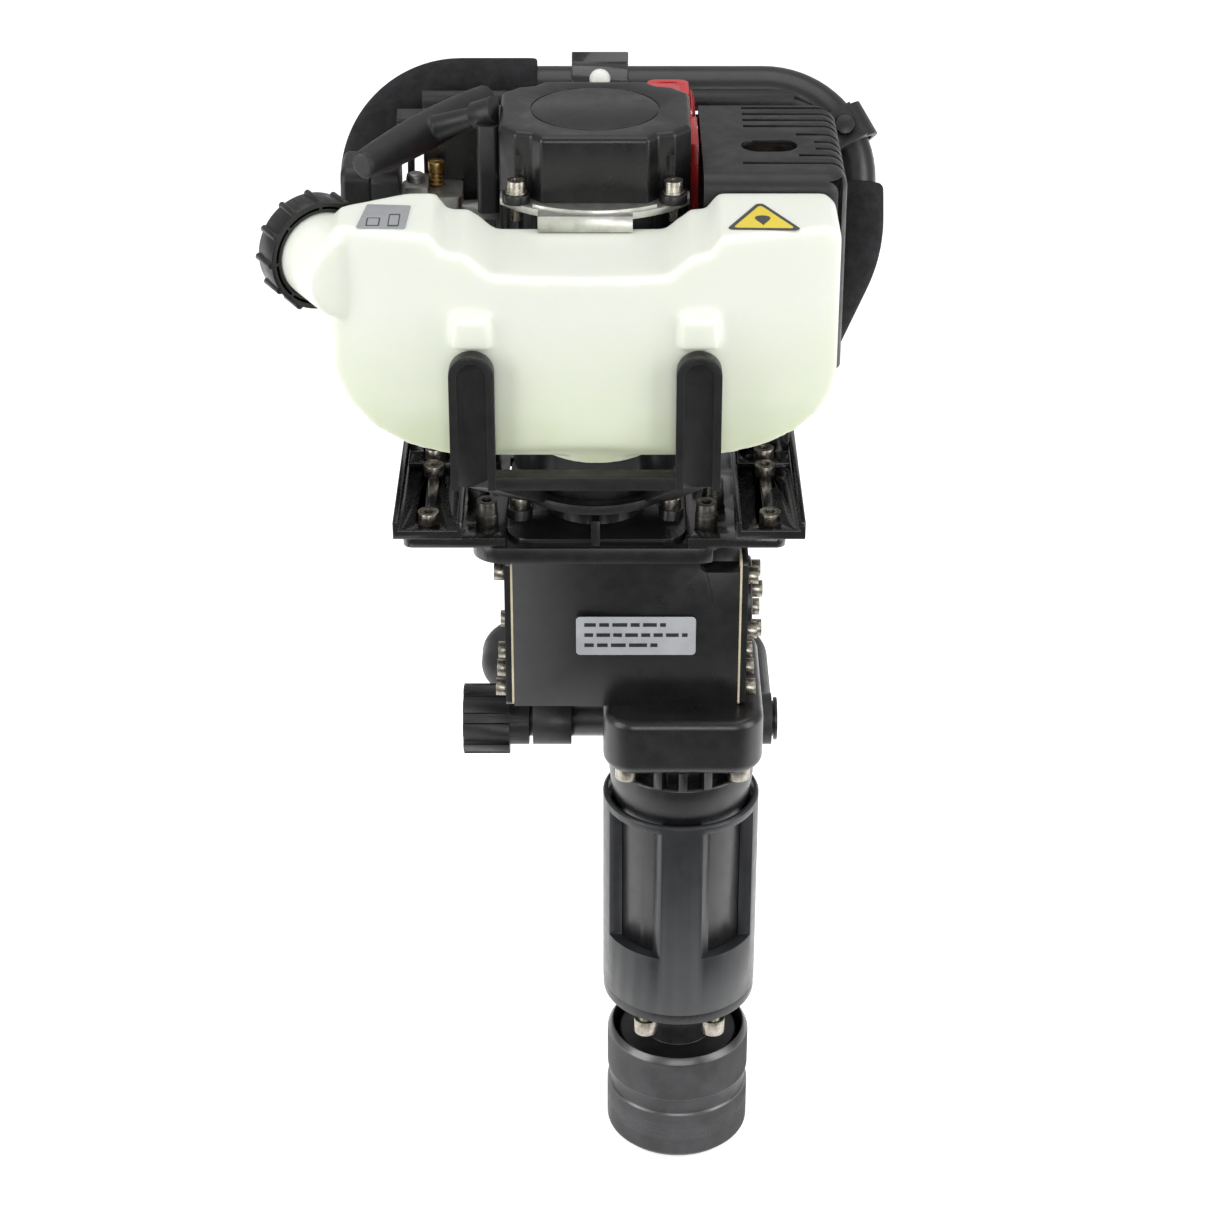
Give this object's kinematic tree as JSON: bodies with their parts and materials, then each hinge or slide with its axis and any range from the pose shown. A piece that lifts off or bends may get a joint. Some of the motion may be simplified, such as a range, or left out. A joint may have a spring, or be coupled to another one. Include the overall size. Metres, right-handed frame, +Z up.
{
  "type": "petrol percussion driver head",
  "caption": "Hand-held petrol percussion driver head: two-stroke engine with loop handle and front tank, gearbox, hammer barrel and a sliding quick-release chuck.",
  "frame": {"origin": "on the tool axis in the mouth of the chuck's bore", "axes": "+Z up along the tool axis, +Y to the back (operator's side), +X to the right seen from the front"},
  "size_m": [0.294, 0.2505, 0.5657],
  "materials": {
    "chuck_steel": "dark phosphated steel, knurled",
    "polished_steel": "ground",
    "spring_steel": "oiled",
    "black_casting": "satin black paint on cast aluminium",
    "sleeve_casting": "satin black paint on cast aluminium",
    "black_plate": "gloss black powder coat",
    "nickel_screws": "nickel plated",
    "black_screws": "black oxide",
    "gasket_paper": "fibre paper",
    "bare_aluminium": "as cast",
    "black_plastic": "grained",
    "gloss_black_plastic": "moulded",
    "knob_plastic": "moulded",
    "red_plastic": "moulded",
    "button_plastic": "moulded",
    "muffler_steel": "heat darkened",
    "zinc_plate": "zinc plated sheet",
    "tank_plastic": "translucent polyethylene",
    "rubber_black": "moulded",
    "rope_nylon": "braided",
    "brass_screw": "turned",
    "handle_tube": "satin black",
    "foam_black": "closed-cell foam"
  },
  "bodies": {
    "machine": {"air_filter": "black_plastic", "barrel": "black_casting", "barrel_end_plate": "black_casting", "barrel_sleeve": "sleeve_casting", "carburettor": "bare_aluminium", "clutch_housing": "black_casting", "collar_clip": "spring_steel", "collar_spring": "spring_steel", "control_cables": "black_plastic", "crankcase": "black_casting", "cylinder_shroud": "red_plastic", "engine_cylinder": "bare_aluminium", "fan_housing": "black_plastic", "foam_grips": "foam_black", "fuel_hose": "rubber_black", "fuel_tank": "tank_plastic", "gearbox_housing": "black_casting", "hammer_cylinder": "polished_steel", "handle_clamp": "black_plate", "handle_feet": "black_plate", "loop_handle": "handle_tube", "m5_screws": "nickel_screws", "m6_screws": "nickel_screws", "m8_screws": "nickel_screws", "mount_plate": "black_plate", "mount_rails": "black_plate", "muffler": "muffler_steel", "muffler_guard": "black_plastic", "nose_block": "black_casting", "plate_bolts": "black_screws", "retainer_balls": "polished_steel", "rope_guide": "black_plastic", "side_bar": "handle_tube", "side_bracket": "black_casting", "side_cover_left": "black_casting", "side_cover_right": "black_casting", "side_gaskets": "gasket_paper", "spark_plug": "rubber_black", "starter_cover": "gloss_black_plastic", "starter_rope": "rope_nylon", "tank_bracket": "zinc_plate", "tank_guard": "black_plastic", "throttle_clamp": "black_plastic", "tool_holder": "chuck_steel"},
    "collar": {"chuck_collar": "chuck_steel"},
    "anvil": {"anvil": "polished_steel"},
    "striker": {"striker": "polished_steel"},
    "drum": {"clutch_drum": "polished_steel"},
    "crank": {"crankshaft": "polished_steel", "flywheel": "bare_aluminium"},
    "reel": {"starter_reel": "black_plastic"},
    "pull": {"starter_handle": "knob_plastic"},
    "seal": {"cap_seal": "rubber_black"},
    "cap": {"fuel_cap": "gloss_black_plastic"},
    "choke": {"choke_lever": "black_plastic"},
    "idle": {"idle_screw": "brass_screw"},
    "throttle": {"throttle_lever": "black_plastic"},
    "stop": {"stop_button": "button_plastic"},
    "swing_handle": {"side_handle": "knob_plastic"},
    "knob": {"clamp_knob": "knob_plastic"}
  },
  "joints": [
    {"name": "collar_slide", "type": "slide", "parent": "machine", "child": "collar", "axis": [0, 0, 1], "range_m": [0, 0.01], "stiffness_N_per_m": 1500, "springref_m": -0.006, "deforming": ["collar_spring"]},
    {"name": "anvil_slide", "type": "slide", "parent": "machine", "child": "anvil", "axis": [0, 0, 1], "range_m": [0, 0.004]},
    {"name": "striker_slide", "type": "slide", "parent": "machine", "child": "striker", "axis": [0, 0, 1], "range_m": [0, 0.03]},
    {"name": "drum_spin", "type": "hinge", "parent": "machine", "child": "drum", "pos_m": [-0.043, 0.02, 0.36], "axis": [0, 0, 1], "continuous": true},
    {"name": "crank_spin", "type": "hinge", "parent": "machine", "child": "crank", "pos_m": [-0.043, 0.02, 0.43], "axis": [0, 0, 1], "continuous": true},
    {"name": "rope_pull", "type": "slide", "parent": "machine", "child": "pull", "axis": [-0.799, 0.4494, -0.3995], "range_m": [0, 0.0084], "stiffness_N_per_m": 80, "springref_m": -0.03},
    {"name": "reel_spin", "type": "hinge", "parent": "machine", "child": "reel", "pos_m": [-0.043, 0.02, 0.54], "axis": [0, 0, 1], "range_deg": [0, 20.2]},
    {"name": "cap_rise", "type": "slide", "parent": "machine", "child": "seal", "axis": [-0.5, 0.866, 0], "range_m": [0, 0.0091]},
    {"name": "cap_turn", "type": "hinge", "parent": "seal", "child": "cap", "pos_m": [-0.164, -0.045, 0.516], "axis": [-0.5, 0.866, 0], "range_deg": [0, 720]},
    {"name": "choke_swing", "type": "hinge", "parent": "machine", "child": "choke", "pos_m": [-0.1315, 0.069, 0.5], "axis": [1, 0, 0], "range_deg": [-35, 0]},
    {"name": "idle_turn", "type": "hinge", "parent": "machine", "child": "idle", "pos_m": [-0.1185, 0.055, 0.512], "axis": [0, 0, 1], "continuous": true},
    {"name": "throttle_squeeze", "type": "hinge", "parent": "machine", "child": "throttle", "pos_m": [0.07897, 0.14688, 0.501], "axis": [1, 0, 0], "range_deg": [-8, 0], "stiffness_Nm_per_rad": 0.5, "springref_deg": 11.46},
    {"name": "stop_press", "type": "slide", "parent": "machine", "child": "stop", "axis": [0, 0.8651, -0.5015], "range_m": [0, 0.002], "stiffness_N_per_m": 400, "springref_m": -0.002},
    {"name": "side_swing", "type": "hinge", "parent": "machine", "child": "swing_handle", "pos_m": [0, 0.054, 0.218], "axis": [1, 0, 0], "range_deg": [-75, 30]},
    {"name": "knob_turn", "type": "hinge", "parent": "machine", "child": "knob", "pos_m": [-0.09, 0.054, 0.218], "axis": [1, 0, 0], "range_deg": [0, 180]}
  ],
  "couplings": [
    {"joint": "reel_spin", "follows": "rope_pull", "rad_per_m": 41.667},
    {"joint": "cap_rise", "follows": "cap_turn", "m_per_rad": 0.0007162}
  ]
}
